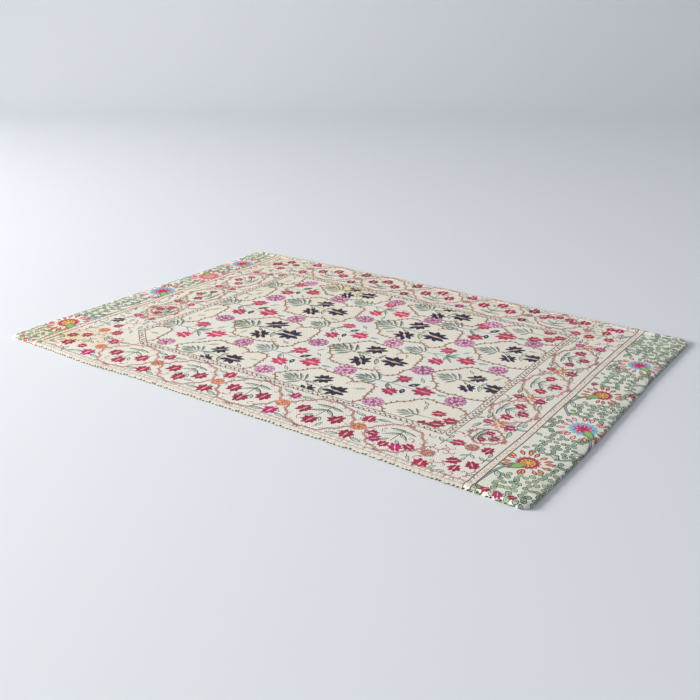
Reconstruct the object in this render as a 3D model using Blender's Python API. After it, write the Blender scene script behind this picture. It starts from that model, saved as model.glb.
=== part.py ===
"""A printed woven rug: one sheet of cloth with a turned, puffy hem, lying flat on the floor."""
import math

import bmesh
import bpy

# Driving dimensions, in metres
LENGTH = 0.903
WIDTH = 0.610
CLOTH_THICKNESS = 0.0060
HEM_THICKNESS = 0.0076
HEM_WIDTH = 0.014
SEAM_DEPTH = 0.0006
SEAM_WIDTH = 0.004
FOLD_RADIUS = 0.0024
FOLD_SEGMENTS = 3

# How finely the cloth is divided
HEM_ROWS = 4
FIELD_STEP = 0.030

# How far the cloth swells and sinks between its hems
SWELL_HEIGHT = 0.0004
SWELL_LENGTH = 0.210
SWELL_SLANT = 0.55
SHARP_ANGLE = math.radians(50)

# How far each edge bows outwards: (place along the edge, outward shift)
NEAR_EDGE_BOW = ((-0.45, -0.002), (-0.36, 0.000), (-0.27, 0.004), (-0.16, -0.001),
                 (0.00, -0.001), (0.20, 0.000), (0.36, 0.004), (0.45, 0.005))
FAR_EDGE_BOW = ((-0.45, -0.001), (-0.30, 0.004), (-0.12, 0.003), (0.05, 0.000),
                (0.20, -0.002), (0.32, -0.004), (0.45, -0.007))
LEFT_EDGE_BOW = ((-0.30, 0.007), (-0.22, 0.007), (-0.12, 0.003), (0.00, 0.000),
                 (0.10, -0.003), (0.20, -0.003), (0.30, -0.001))
RIGHT_EDGE_BOW = ((-0.30, 0.000), (-0.15, 0.003), (0.00, 0.001), (0.12, -0.002),
                  (0.30, -0.001))

# Finish
CLOTH_COLOUR = (0.80, 0.77, 0.68, 1.0)
CLOTH_ROUGHNESS = 0.92
NAME = "rug"


def clear_scene():
    """Removes whatever the scene holds."""
    for thing in list(bpy.data.objects):
        bpy.data.objects.remove(thing, do_unlink=True)


def grid_lines(size):
    """Places of the grid's lines across one side: close together in the hem, wide apart between."""
    half = size / 2
    hem = [half - HEM_WIDTH * row / HEM_ROWS for row in range(HEM_ROWS + 1)]
    seam = half - HEM_WIDTH - SEAM_WIDTH
    steps = math.ceil(2 * seam / FIELD_STEP)
    field = [-seam + 2 * seam * step / steps for step in range(steps + 1)]
    return [-place for place in hem] + field + hem[::-1]


def rounded(x, y):
    """A corner's square of points, drawn in to a quarter disc as wide as the hem."""
    over_x = abs(x) - (LENGTH / 2 - HEM_WIDTH)
    over_y = abs(y) - (WIDTH / 2 - HEM_WIDTH)
    if over_x <= 0 or over_y <= 0:
        return x, y
    pull = max(over_x, over_y) / math.hypot(over_x, over_y)
    place_x = LENGTH / 2 - HEM_WIDTH + over_x * pull
    place_y = WIDTH / 2 - HEM_WIDTH + over_y * pull
    return math.copysign(place_x, x), math.copysign(place_y, y)


def inset(x, y):
    """Distance in from the round-cornered outline."""
    over_x = abs(x) - (LENGTH / 2 - HEM_WIDTH)
    over_y = abs(y) - (WIDTH / 2 - HEM_WIDTH)
    outside = math.hypot(max(over_x, 0.0), max(over_y, 0.0))
    return HEM_WIDTH - outside - min(max(over_x, over_y), 0.0)


def thickness(x, y):
    """The cloth's thickness: a puffy hem, the seam's dip beside it, and a faint swell between."""
    depth = inset(x, y)
    if depth < HEM_WIDTH:
        swell = math.sin(math.pi * max(depth, 0.0) / HEM_WIDTH)
        dip = SEAM_DEPTH * depth / HEM_WIDTH
        return CLOTH_THICKNESS + (HEM_THICKNESS - CLOTH_THICKNESS) * swell - dip
    beyond = depth - HEM_WIDTH
    dip = SEAM_DEPTH * max(0.0, 1 - beyond / SEAM_WIDTH)
    turn = math.tau / SWELL_LENGTH
    wave = math.sin(turn * (x + SWELL_SLANT * y)) * math.cos(turn * (y - SWELL_SLANT * x))
    return CLOTH_THICKNESS - dip + SWELL_HEIGHT * wave * min(1.0, beyond / FIELD_STEP)


def eased(table, place):
    """The table's shift at a place, eased from row to row."""
    if place <= table[0][0]:
        return table[0][1]
    for (start, low), (end, high) in zip(table, table[1:]):
        if place <= end:
            share = (place - start) / (end - start)
            return low + (high - low) * share * share * (3 - 2 * share)
    return table[-1][1]


def bowed(x, y):
    """A point of the flat cloth, moved as the edges bow; the middle stays where it is."""
    across = y / WIDTH + 0.5
    along = x / LENGTH + 0.5
    far = eased(FAR_EDGE_BOW, x) * across
    near = eased(NEAR_EDGE_BOW, x) * (1 - across)
    right = eased(RIGHT_EDGE_BOW, y) * along
    left = eased(LEFT_EDGE_BOW, y) * (1 - along)
    return x + right - left, y + far - near


def lay_grid(mesh):
    """The flat underside as a grid, with its lines gathered in the hem and its corners rounded."""
    lines_x = grid_lines(LENGTH)
    lines_y = grid_lines(WIDTH)
    columns = len(lines_x) - 1
    rows = len(lines_y) - 1
    bmesh.ops.create_grid(mesh, x_segments=columns, y_segments=rows, size=1.0)
    for vert in mesh.verts:
        column = round((vert.co.x + 1) / 2 * columns)
        row = round((vert.co.y + 1) / 2 * rows)
        vert.co.x, vert.co.y = rounded(lines_x[column], lines_y[row])


def give_thickness(mesh):
    """Draws the grid up into a closed slab and rounds both rims to the hem's fold."""
    grown = bmesh.ops.extrude_face_region(mesh, geom=mesh.faces[:], use_keep_orig=True)
    for thing in grown["geom"]:
        if isinstance(thing, bmesh.types.BMVert):
            thing.co.z = CLOTH_THICKNESS
    bmesh.ops.recalc_face_normals(mesh, faces=mesh.faces)
    mesh.normal_update()
    rims = [edge for edge in mesh.edges if edge.calc_face_angle() > SHARP_ANGLE
            and edge.verts[0].co.z == edge.verts[1].co.z]
    bmesh.ops.bevel(mesh, geom=rims, offset=FOLD_RADIUS, segments=FOLD_SEGMENTS,
                    profile=0.5, affect="EDGES", clamp_overlap=True)


def shape_cloth(mesh):
    """Raises the hem, dips the seam, bows the edges, and puts the outline's middle at the origin."""
    for vert in mesh.verts:
        vert.co.z *= thickness(vert.co.x, vert.co.y) / CLOTH_THICKNESS
        vert.co.x, vert.co.y = bowed(vert.co.x, vert.co.y)
    places_x = [vert.co.x for vert in mesh.verts]
    places_y = [vert.co.y for vert in mesh.verts]
    middle_x = (min(places_x) + max(places_x)) / 2
    middle_y = (min(places_y) + max(places_y)) / 2
    for vert in mesh.verts:
        vert.co.x -= middle_x
        vert.co.y -= middle_y


def cloth_material():
    """Matt cream woven cloth."""
    material = bpy.data.materials.new(NAME + "_cloth")
    material.use_nodes = True
    shader = material.node_tree.nodes["Principled BSDF"]
    shader.inputs["Base Color"].default_value = CLOTH_COLOUR
    shader.inputs["Roughness"].default_value = CLOTH_ROUGHNESS
    shader.inputs["Metallic"].default_value = 0.0
    return material


def make_rug():
    """The rug as one closed solid, resting flat on the floor."""
    mesh = bmesh.new()
    lay_grid(mesh)
    give_thickness(mesh)
    shape_cloth(mesh)
    bmesh.ops.triangulate(mesh, faces=mesh.faces)
    data = bpy.data.meshes.new(NAME)
    mesh.to_mesh(data)
    mesh.free()
    data.materials.append(cloth_material())
    data.shade_smooth()
    data.set_sharp_from_angle(angle=SHARP_ANGLE)
    collection = bpy.data.collections.new("printed_rug")
    bpy.context.scene.collection.children.link(collection)
    collection.objects.link(bpy.data.objects.new(NAME, data))


clear_scene()
make_rug()
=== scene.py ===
"""Looks of a printed woven rug lying on a pale studio floor.

The print is drawn as overlapping outlines on the flat cloth, in millimetres. The edges that show are cut into
the flat sheet, which is then folded over its rims, so the print runs round the hem as on the real rug.
"""
import cmath
import math
import random

import bpy
import numpy as np
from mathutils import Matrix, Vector
from mathutils.geometry import delaunay_2d_cdt


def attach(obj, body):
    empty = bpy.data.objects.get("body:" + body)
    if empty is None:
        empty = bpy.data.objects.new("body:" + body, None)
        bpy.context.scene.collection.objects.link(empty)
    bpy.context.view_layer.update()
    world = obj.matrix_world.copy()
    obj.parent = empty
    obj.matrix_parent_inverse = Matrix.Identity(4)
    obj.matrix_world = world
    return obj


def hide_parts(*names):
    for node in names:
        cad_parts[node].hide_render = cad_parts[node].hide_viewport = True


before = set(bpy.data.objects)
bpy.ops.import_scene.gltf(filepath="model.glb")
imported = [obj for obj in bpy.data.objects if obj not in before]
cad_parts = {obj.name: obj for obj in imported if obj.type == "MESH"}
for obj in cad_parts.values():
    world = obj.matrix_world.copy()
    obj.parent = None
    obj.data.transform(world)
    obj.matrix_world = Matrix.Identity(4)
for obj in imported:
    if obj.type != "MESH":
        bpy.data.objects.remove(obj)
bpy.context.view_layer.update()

MM = 0.001

# The rug's shape in millimetres, as the model has it
HALF_LENGTH = 451.5
HALF_WIDTH = 305.0
HEM = 14.0
CLOTH_THICKNESS = 6.0
HEM_THICKNESS = 7.6
SEAM_DEPTH = 0.6
SEAM_WIDTH = 4.0
SWELL_HEIGHT = 0.4
SWELL_LENGTH = 210.0
SWELL_SLANT = 0.55
SWELL_START = 30.0
NEAR_EDGE_BOW = ((-450, -2), (-360, 0), (-270, 4), (-160, -1), (0, -1), (200, 0), (360, 4), (450, 5))
FAR_EDGE_BOW = ((-450, -1), (-300, 4), (-120, 3), (50, 0), (200, -2), (320, -4), (450, -7))
LEFT_EDGE_BOW = ((-300, 7), (-220, 7), (-120, 3), (0, 0), (100, -3), (200, -3), (300, -1))
RIGHT_EDGE_BOW = ((-300, 0), (-150, 3), (0, 1), (120, -2), (300, -1))
# The bows put the outline's middle here, and the model has its origin there
MIDDLE = -2.0 - 0.5j

# The hem's fold is a half round, and the print reaches down it to the floor
FOLD = CLOTH_THICKNESS / 2
OVERHANG = (math.pi - 1) * FOLD

# The hem's gathers, and the share of them on the fold and beside the seam
PUCKER_HEIGHT = 0.32
PUCKER_PITCH = 13.0
FOLD_PUCKER = 0.35
# The short ends are flatter, thinner at the rim, and gathered more in longer waves
SHORT_END_STRETCH = 0.62
SHORT_END_PUFF = 0.1
SHORT_END_GATHER = 2.2
SHORT_END_THINNING = 0.3

# How finely the sheet is divided
RIM_STEP = 5.0
FOLD_ROWS = 5
HEM_ROWS = (3.0, 5.5, 8.5, 11.5, 14.0, 16.5, 19.0)
INNER_STEP = 20.0
UNDER_STEP = 60.0
MERGE = 0.002
SLACK = 0.1

PRINT_SEED = 7

# Inks as printed, in sRGB
INKS = {
    "ground": (237, 232, 222),
    "field ground": (236, 233, 225),
    "cell ground": (238, 232, 218),
    "end ground": (235, 234, 222),
    "stripe ground": (235, 227, 214),
    # Partly the band's own tone and partly painted shade: darker than the band really is, to hold down the
    # hem where the key light falls on it
    "painted shade hem ground": (200, 196, 182),
    "vine": (172, 128, 98),
    "thorn": (120, 82, 62),
    "scroll": (208, 172, 158),
    "scroll edge": (188, 140, 128),
    "scroll bud": (186, 114, 110),
    "line": (106, 68, 68),
    "soft line": (182, 142, 134),
    "speck": (82, 52, 52),
    "mauve": (180, 82, 134),
    "mauve light": (240, 208, 226),
    "mauve deep": (174, 70, 132),
    "purple": (34, 18, 50),
    "violet": (60, 40, 100),
    "lilac": (205, 186, 210),
    "pollen": (232, 204, 110),
    "rose": (206, 64, 104),
    "rose deep": (168, 38, 78),
    "rose light": (240, 150, 158),
    "crimson": (182, 40, 82),
    "crimson deep": (134, 26, 54),
    "blush": (240, 196, 190),
    "magenta": (198, 40, 118),
    "scarlet": (196, 48, 46),
    "orange": (200, 108, 74),
    "orange deep": (168, 72, 44),
    "peach": (232, 180, 146),
    "brick": (176, 104, 88),
    "brick deep": (158, 84, 72),
    "gold": (242, 200, 104),
    "sky": (134, 190, 212),
    "feather": (96, 114, 104),
    "feather light": (172, 188, 176),
    "feather dark": (64, 92, 86),
    "teal": (38, 64, 70),
    "pale blue": (168, 196, 206),
    "leaf": (208, 222, 204),
    "leaf edge": (54, 72, 62),
    "fresh leaf": (152, 192, 118),
    "fresh edge": (92, 132, 74),
    "clover edge": (50, 68, 56),
    "olive edge": (112, 124, 84),
    "clover heart": (176, 196, 172),
    "stem": (150, 166, 160),
    "stem edge": (84, 104, 104),
    "ink": (58, 62, 64),
    "back": (214, 208, 192),
}


# The rug's surface

def inset(place):
    """Distance in from the round-cornered outline, and the direction straight out of it."""
    over_x = np.abs(place.real) - (HALF_LENGTH - HEM)
    over_y = np.abs(place.imag) - (HALF_WIDTH - HEM)
    out = np.maximum(over_x, 0) + 1j * np.maximum(over_y, 0)
    outside = np.abs(out)
    depth = HEM - outside - np.minimum(np.maximum(over_x, over_y), 0)
    straight = np.where(over_x > over_y, 1 + 0j, 1j)
    way = np.where(outside > 0, out / np.maximum(outside, 1e-9), straight)
    return depth, way.real * np.sign(place.real) + 1j * way.imag * np.sign(place.imag)


def ripple(along):
    """An uneven wave along an edge, between -1 and 1."""
    turn = math.tau / PUCKER_PITCH
    return (0.65 * np.sin(turn * along + 2.1 * np.sin(along / 41))
            + 0.35 * np.sin(1.72 * turn * along + 1.4 * np.sin(along / 23)))


def thickness(place, depth, way):
    """The thickness of the cloth: a puffy gathered hem, the seam's dip, and a faint swell between."""
    long_side = np.abs(way.imag)
    short_side = np.abs(way.real)
    fullness = SHORT_END_PUFF + (1 - SHORT_END_PUFF) * long_side
    share = np.clip(depth / HEM, 0, 1)
    puff = np.sin(np.pi * share)
    seam = SEAM_DEPTH * fullness
    hem = (HEM_THICKNESS - CLOTH_THICKNESS) * puff * fullness - seam * share
    gather = (long_side * ripple(place.real)
              + SHORT_END_GATHER * short_side * ripple(SHORT_END_STRETCH * place.imag))
    hem = hem + PUCKER_HEIGHT * (FOLD_PUCKER + (1 - FOLD_PUCKER) * puff) * gather
    beyond = depth - HEM
    dip = (seam - FOLD_PUCKER * PUCKER_HEIGHT * gather) * np.maximum(0, 1 - beyond / SEAM_WIDTH)
    turn = math.tau / SWELL_LENGTH
    wave = (np.sin(turn * (place.real + SWELL_SLANT * place.imag))
            * np.cos(turn * (place.imag - SWELL_SLANT * place.real)))
    inner = SWELL_HEIGHT * wave * np.clip(beyond / SWELL_START, 0, 1) - dip
    thinner = SHORT_END_THINNING * short_side * (1 - share)
    return CLOTH_THICKNESS * (1 - thinner) + np.where(depth < HEM, hem, inner)


def eased(table, place):
    """The table's shift at each place, eased from row to row."""
    shift = np.full(place.shape, float(table[0][1]))
    for (start, low), (end, high) in zip(table, table[1:]):
        share = np.clip((place - start) / (end - start), 0, 1)
        shift = shift + (high - low) * share * share * (3 - 2 * share)
    return shift


def bowed(place):
    """Points of the flat cloth, moved as its edges bow."""
    across = place.imag / (2 * HALF_WIDTH) + 0.5
    along = place.real / (2 * HALF_LENGTH) + 0.5
    far = eased(FAR_EDGE_BOW, place.real) * across
    near = eased(NEAR_EDGE_BOW, place.real) * (1 - across)
    right = eased(RIGHT_EDGE_BOW, place.imag) * along
    left = eased(LEFT_EDGE_BOW, place.imag) * (1 - along)
    return place + (right - left) + 1j * (far - near) - MIDDLE


def settled(place):
    """Points of the flat print as the cloth takes them round its fold: places, heights."""
    depth, way = inset(place)
    angle = np.clip((FOLD - depth) / FOLD, 0, np.pi)
    inner = np.where(depth < FOLD, FOLD * (1 - np.sin(angle)), depth)
    height = thickness(place, inner, way) * (1 + np.cos(angle)) / 2
    return place + way * (depth - inner), height


def surface(place):
    """Points of the rug's surface in millimetres, three numbers for each place of the flat print."""
    lying, height = settled(place)
    lying = bowed(lying)
    return np.stack([lying.real, lying.imag, height], axis=-1)


def surface_normals(place, step=0.05):
    """Directions straight out of the surface, from points a small step apart."""
    across = surface(place + step) - surface(place - step)
    along = surface(place + 1j * step) - surface(place - 1j * step)
    normal = np.cross(across, along)
    return normal / np.maximum(np.linalg.norm(normal, axis=1, keepdims=True), 1e-12)


def rim(depth, step):
    """Points round the cloth at one distance in from its outline, anticlockwise."""
    radius = max(HEM - depth, 0.0)
    centre = complex(HALF_LENGTH, HALF_WIDTH) - max(depth, HEM) * (1 + 1j)
    turns = max(1, round(radius * math.pi / 2 / step))
    corners = []
    for quarter in range(4):
        middle = complex(math.copysign(centre.real, (1, -1, -1, 1)[quarter]),
                         math.copysign(centre.imag, (1, 1, -1, -1)[quarter]))
        for turn in range(turns + 1):
            corners.append(middle + radius * cmath.exp(0.5j * math.pi * (quarter + turn / turns)))
    points = []
    for start, end in zip(corners, corners[1:] + corners[:1]):
        steps = max(1, round(abs(end - start) / step))
        if abs(end - start) > MERGE:
            points += [start + (end - start) * k / steps for k in range(steps)]
    return np.array(points)


def inner_grid(margin, step):
    """A staggered grid of points at least a margin in from the outline."""
    points = []
    for row, y in enumerate(np.arange(-HALF_WIDTH + margin, HALF_WIDTH - margin + 1, step)):
        for x in np.arange(-HALF_LENGTH + margin + (row % 2) * step / 2, HALF_LENGTH - margin + 1, step):
            points.append(complex(x, y))
    return np.array(points)


# Drawing tools for the print

def curve(points, per_span=4, closed=False):
    """A smooth path through the points, with per_span steps between each two."""
    points = np.asarray(points, complex)
    if closed:
        ends = np.concatenate([points[-1:], points, points[:2]])
    else:
        ends = np.concatenate([[2 * points[0] - points[1]], points, [2 * points[-1] - points[-2]]])
    before, start, end, after = (ends[k:len(ends) - 3 + k, None] for k in range(4))
    t = np.arange(per_span) / per_span
    path = start + 0.5 * t * (end - before + t * (
        2 * before - 5 * start + 4 * end - after + t * (3 * (start - end) + after - before)))
    path = path.ravel()
    return path if closed else np.append(path, points[-1])


def spaced(path, step):
    """Places and directions every step along a path."""
    lengths = np.append(0, np.cumsum(np.abs(np.diff(path))))
    at = np.arange(step / 2, lengths[-1], step)
    places = np.interp(at, lengths, path.real) + 1j * np.interp(at, lengths, path.imag)
    ahead = np.interp(at + 0.5, lengths, path.real) + 1j * np.interp(at + 0.5, lengths, path.imag)
    behind = np.interp(at - 0.5, lengths, path.real) + 1j * np.interp(at - 0.5, lengths, path.imag)
    return list(zip(places, np.angle(ahead - behind)))


def ribbon(path, width, taper=0.0):
    """The outline of a band along an open path, thinner by the share taper at its end."""
    along = np.gradient(path)
    side = 1j * along / np.maximum(np.abs(along), 1e-9)
    half = width / 2 * (1 - taper * np.linspace(0, 1, len(path)))
    return np.concatenate([path + side * half, (path - side * half)[::-1]])


def petal(length, width, steps=5, fullness=1.0):
    """A petal from its root at zero to its tip on the right; more fullness puts its width nearer the tip."""
    share = np.linspace(0, 1, steps + 1)
    upper = length * share + 0.5j * width * np.sin(np.pi * share ** fullness)
    return np.concatenate([upper, upper.conj()[-2:0:-1]])


def leaf_shape(length, width, bend=0.0, steps=5):
    """A pointed leaf from zero to the right, bent to one side by the share bend of its length."""
    outline = petal(length, width, steps, 0.85)
    share = outline.real / length
    return outline + 1j * bend * length * share ** 2


def disc(radius, count=10):
    return radius * np.exp(2j * np.pi * np.arange(count) / count)


def scalloped(radius, lobes, depth):
    """A disc whose rim has lobes, each depth of the radius deep."""
    turn = np.arange(2 * lobes) * np.pi / lobes
    return radius * (1 - depth * (np.arange(2 * lobes) % 2)) * np.exp(1j * turn)


def box_outline(left, right, near, far):
    return np.array([complex(left, near), complex(right, near), complex(right, far), complex(left, far)])


class Cloth:
    """The painted outlines in order, each with its ink's colour and the way its threads run."""

    def __init__(self, seed):
        self.outlines = []
        self.colours = []
        self.threads = []
        self.inked = []
        self.chance = random.Random(seed)
        self.window = None

    def add(self, outline, ink, thread, tone):
        if self.window is not None:
            left, right, near, far = self.window
            outline = np.clip(outline.real, left, right) + 1j * np.clip(outline.imag, near, far)
            if np.ptp(outline.real) < 0.2 or np.ptp(outline.imag) < 0.2:
                return
        self.outlines.append(outline)
        self.colours.append([part / 255 * tone for part in INKS[ink]])
        self.threads.append(thread)
        self.inked.append(0.0 if ink.endswith("ground") else 1.0)


class Pen:
    """Paints motifs on the cloth at one place, turn and size; a pen moved from another keeps its frame."""

    def __init__(self, cloth, origin=0j, axis=1 + 0j, mirrored=False, tone=1.0):
        self.cloth = cloth
        self.origin = origin
        self.axis = axis
        self.mirrored = mirrored
        self.tone = tone

    def place(self, shape):
        return self.origin + self.axis * (np.conj(shape) if self.mirrored else shape)

    def moved(self, at=0j, turn=0.0, size=1.0, mirrored=False, tone=1.0):
        step = size * cmath.exp(1j * turn)
        axis = self.axis * (step.conjugate() if self.mirrored else step)
        return Pen(self.cloth, self.place(at), axis, self.mirrored != mirrored, self.tone * tone)

    def loose(self, at=0j, turn=0.0, size=1.0, mirrored=False):
        """A pen moved as a hand would: a little off the place, turn, size and shade."""
        chance = self.cloth.chance
        drift = complex(chance.uniform(-1.2, 1.2), chance.uniform(-1.2, 1.2))
        return self.moved(at + drift, turn + chance.uniform(-0.09, 0.09), size * chance.uniform(0.94, 1.06),
                          mirrored, chance.uniform(0.93, 1.05))

    def paint(self, outline, ink, thread=0.0):
        direction = self.axis * (cmath.exp(-1j * thread) if self.mirrored else cmath.exp(1j * thread))
        self.cloth.add(self.place(outline), ink, cmath.phase(direction), self.tone)


# Flowers and leaves

def rosette(pen, radius, rays, base, light, eye):
    """A round flower: two rings of pale loops over a deeper disc, the outer loops with a stroke each."""
    pen.paint(scalloped(radius, rays, 0.16), base)
    for share, start, reach in ((1.0, 0.60, 0.37), (0.6, 0.24, 0.38)):
        count = max(5, round(rays * share))
        wide = 0.72 * math.tau * (start + 0.5 * reach) * radius / count
        for ray in range(count):
            stroke = pen.loose(0, math.tau * (ray + share / 2) / count)
            stroke.paint(start * radius + petal(reach * radius, wide, 3, 0.9), light)
            if share > 0.9:
                stroke.paint((start + 0.05) * radius + petal(0.72 * reach * radius, 0.36 * wide, 2), base)
    pen.paint(scalloped(0.12 * radius, 5, 0.3), eye)


def mauve_rosette(pen, radius):
    rosette(pen, radius, 14, "mauve", "mauve light", "mauve deep")


def bloom(pen, radius, teeth, outer, inner, slit, width=0.5):
    """A bloom of pointed petals in two fans, one on each side of a pale slit along its stem."""
    chance = pen.cloth.chance
    for side in (1, -1):
        for tooth in range(teeth):
            share = tooth / (teeth - 1)
            reach = radius * (1.03 - 0.20 * math.sin(math.pi * share)) * chance.uniform(0.85, 1.12)
            turn = math.pi * (0.06 + 0.84 * share) + chance.uniform(-0.11, 0.11)
            arm = pen.moved(0.11j * side * radius, side * turn)
            arm.paint(petal(reach, width * radius, 4, 1.05), outer)
            arm.paint(0.3 * reach + petal(0.52 * reach, 0.15 * radius, 2), inner)
    pen.paint(leaf_shape(1.15 * radius, 0.22 * radius, 0, 3) - 0.5 * radius, slit)


def star_bloom(pen, radius):
    """A dark field bloom with a yellow heart."""
    bloom(pen, radius, 4, "purple", "violet", "lilac", 0.43)
    pen.paint(disc(0.15 * radius, 6), "pollen")


def fan_bloom(pen, radius):
    """A rose-coloured field bloom with a pale heart."""
    bloom(pen, radius, 4, "rose", "rose deep", "rose light", 0.5)
    pen.paint(leaf_shape(0.9 * radius, 0.26 * radius, 0, 3) - 0.2 * radius, "rose light")
    pen.paint(disc(0.1 * radius, 5) - 0.1 * radius, "pollen")


def cup_bloom(pen, radius, outer="crimson", inner="crimson deep"):
    """A border bloom on its stem."""
    bloom(pen, radius, 4, outer, inner, "blush", 0.56)


def leaf(pen, length, width, bend=0.0, fill="leaf", edge="leaf edge"):
    """A leaf with a thin darker edge and rib."""
    pen.paint(leaf_shape(length, width, bend, 4), edge)
    pen.paint(leaf_shape(0.78 * length, max(width - 2.1, 0.55 * width), bend * 0.8, 3) + 0.11 * length, fill)
    if length > 15:
        pen.paint(leaf_shape(0.7 * length, 0.9, bend, 2), edge)


def feather(pen, size, fronds=9):
    """A palm leaf that lies backwards from its root: a rib with curling fronds on both sides."""
    pen.paint(ribbon(curve((0, -0.4 * size + 0.03j * size, -0.8 * size), 3), 2.4, 0.5), "feather")
    for k in range(fronds):
        share = k / (fronds - 1)
        side = 1 if k % 2 else -1
        length = size * (0.76 - 0.26 * share)
        arm = pen.moved(-size * (0.04 + 0.74 * share), math.pi + side * (1.45 - 0.95 * share))
        bend = -0.30 * side if side > 0 else 0.42
        arm.paint(leaf_bent(length, 0.185 * size, bend), "feather")
        arm.paint(leaf_bent(0.76 * length, 0.085 * size, bend * 0.8) + 0.14 * length, "feather light")


def leaf_bent(length, width, bend):
    """A frond that is widest near its tip and bends to its left."""
    outline = petal(length, width, 4, 1.3)
    return outline + 1j * bend * length * (outline.real / length) ** 2


def bud(pen, length):
    """A dark drop-shaped bud with a pale spot."""
    pen.paint(leaf_shape(length, 0.5 * length, 0.06), "teal")
    pen.paint(leaf_shape(0.3 * length, 0.2 * length, 0, 2) + 0.28 * length, "pale blue")


def stalk(pen, points, width, ink="leaf edge"):
    pen.paint(ribbon(curve(points, 3), width, 0.35), ink)


def dark_spray(pen):
    """A spray that lies along x: a feathery root, three dark blooms and small leaves."""
    stalk(pen, (-30, -12 + 1j, 8, 34), 1.7, "feather")
    stalk(pen, (-24, -12 + 7j, -4 + 18j), 1.4, "feather")
    stalk(pen, (-22, -8 - 8j, 2 - 20j), 1.4, "feather")
    feather(pen.loose(-27), 38, 9)
    star_bloom(pen.loose(-4 + 25j, 0.7), 20)
    star_bloom(pen.loose(0 - 23j, -0.85), 19.5)
    star_bloom(pen.loose(43 + 1j, 0.0), 23)
    leaf(pen.loose(16 + 1j, 1.15), 19, 7, 0.15)
    leaf(pen.loose(15 - 2j, -0.95), 25, 8.5, -0.12)
    leaf(pen.loose(-18 + 3j, 0.5), 17, 5)
    leaf(pen.loose(-16 - 4j, -0.5), 16, 5)
    leaf(pen.loose(-26 + 2j, 0.25), 20, 4.4)


def rose_spray(pen, budded):
    """A spray that lies along x: a feathery root, three rose blooms, and dark buds or long fronds."""
    stalk(pen, (-34, -10 + 1j, 18, 38), 1.6, "feather")
    stalk(pen, (-22, -8 + 10j, -3 + 22j), 1.4, "feather")
    stalk(pen, (-20, -6 - 12j, 0 - 24j), 1.4, "feather")
    feather(pen.loose(-35), 35, 9)
    fan_bloom(pen.loose(-4 + 28j, 0.5), 16)
    fan_bloom(pen.loose(0 - 28j, -0.4), 16)
    fan_bloom(pen.loose(44, 0.0), 18.5)
    if budded:
        bud(pen.loose(14 + 5j, 0.9), 23)
        bud(pen.loose(15 - 8j, -1.35), 19)
        leaf(pen.loose(-16 + 3j, 0.9), 18, 6.5, 0.2, "feather light", "feather dark")
        leaf(pen.loose(-20 - 3j, -0.8), 19, 7, -0.2, "feather light", "feather dark")
    else:
        for turn, size in ((0.75, 29), (-0.7, 33), (1.35, 20), (-1.3, 19), (0.15, 25)):
            leaf(pen.loose(4, turn), size, 6.6, 0.18 * math.copysign(1, turn), "feather light", "feather")
    leaf(pen.loose(66 + 2j, 0.2), 19, 7)
    leaf(pen.loose(34 + 16j, 0.6), 13, 5)


def small_spray(pen):
    """A short spray along x: a few fronds and a cluster of crimson blooms."""
    stalk(pen, (-30, -10, 16), 1.5, "feather")
    feather(pen.loose(-20), 26, 7)
    for at in (2 + 17j, 24 + 6j, 12 - 11j, -6 - 22j):
        cup_bloom(pen.loose(at, 0.4), 11.5, "rose deep", "crimson")


# The field

# A cell's upper outline from left to right: shares of half its length and half its height
CELL_UPPER = ((-1.00, 0.00), (-0.88, 0.20), (-0.76, 0.46), (-0.63, 0.60), (-0.57, 0.84), (-0.40, 0.97),
              (-0.12, 0.92), (0.16, 0.94), (0.36, 0.83), (0.46, 0.74), (0.58, 0.90), (0.78, 0.90),
              (0.90, 0.66), (0.91, 0.36), (1.00, 0.00))
# A border wreath's outline, a quarter of it
WREATH_QUARTER = ((1.00, 0.00), (0.86, 0.16), (0.80, 0.40), (0.62, 0.56), (0.50, 0.84), (0.24, 0.90),
                  (0.00, 1.00))


def mirrored_down(upper):
    """A closed outline from its upper half, which runs from one end to the other."""
    return np.concatenate([upper, np.conj(upper[-2:0:-1])])


def thorny(pen, path, step, length, ink):
    """Small thorns along a path, leaning forwards, now on one side and now on the other."""
    for count, (at, turn) in enumerate(spaced(path, step)):
        side = 1 if count % 3 else -1
        thorn = pen.moved(at, turn + side * 0.9)
        thorn.paint(petal(length, 0.5 * length, 2), ink)


def cell(pen, half_length, half_height):
    """A pale cell with a thorny vine round it."""
    upper = curve([complex(x * half_length, y * half_height) for x, y in CELL_UPPER], 2)
    pen.paint(mirrored_down(upper), "cell ground")
    for half in (upper, np.conj(upper)):
        pen.paint(ribbon(half, 2.7), "vine")
        thorny(pen, half, 8.6, 6.4, "thorn")
        way = math.copysign(1, half[4].imag)
        hook = [complex(0.46 * half_length, way * 0.74 * half_height),
                complex(0.36 * half_length, way * 0.64 * half_height),
                complex(0.37 * half_length, way * 0.52 * half_height),
                complex(0.44 * half_length, way * 0.56 * half_height)]
        pen.paint(ribbon(curve(hook, 3), 2.0, 0.5), "vine")


FIELD_LEFT, FIELD_RIGHT = -286.0, 286.5
FIELD_NEAR, FIELD_FAR = -198.0, 206.5
COLUMNS = (-322.0, -224.0, -124.0, -27.5, 71.0, 163.5, 254.0, 350.0)
ROWS = (-245.0, -180.0, -115.0, -48.0, 17.5, 82.5, 142.5, 186.0, 232.0)


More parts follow.
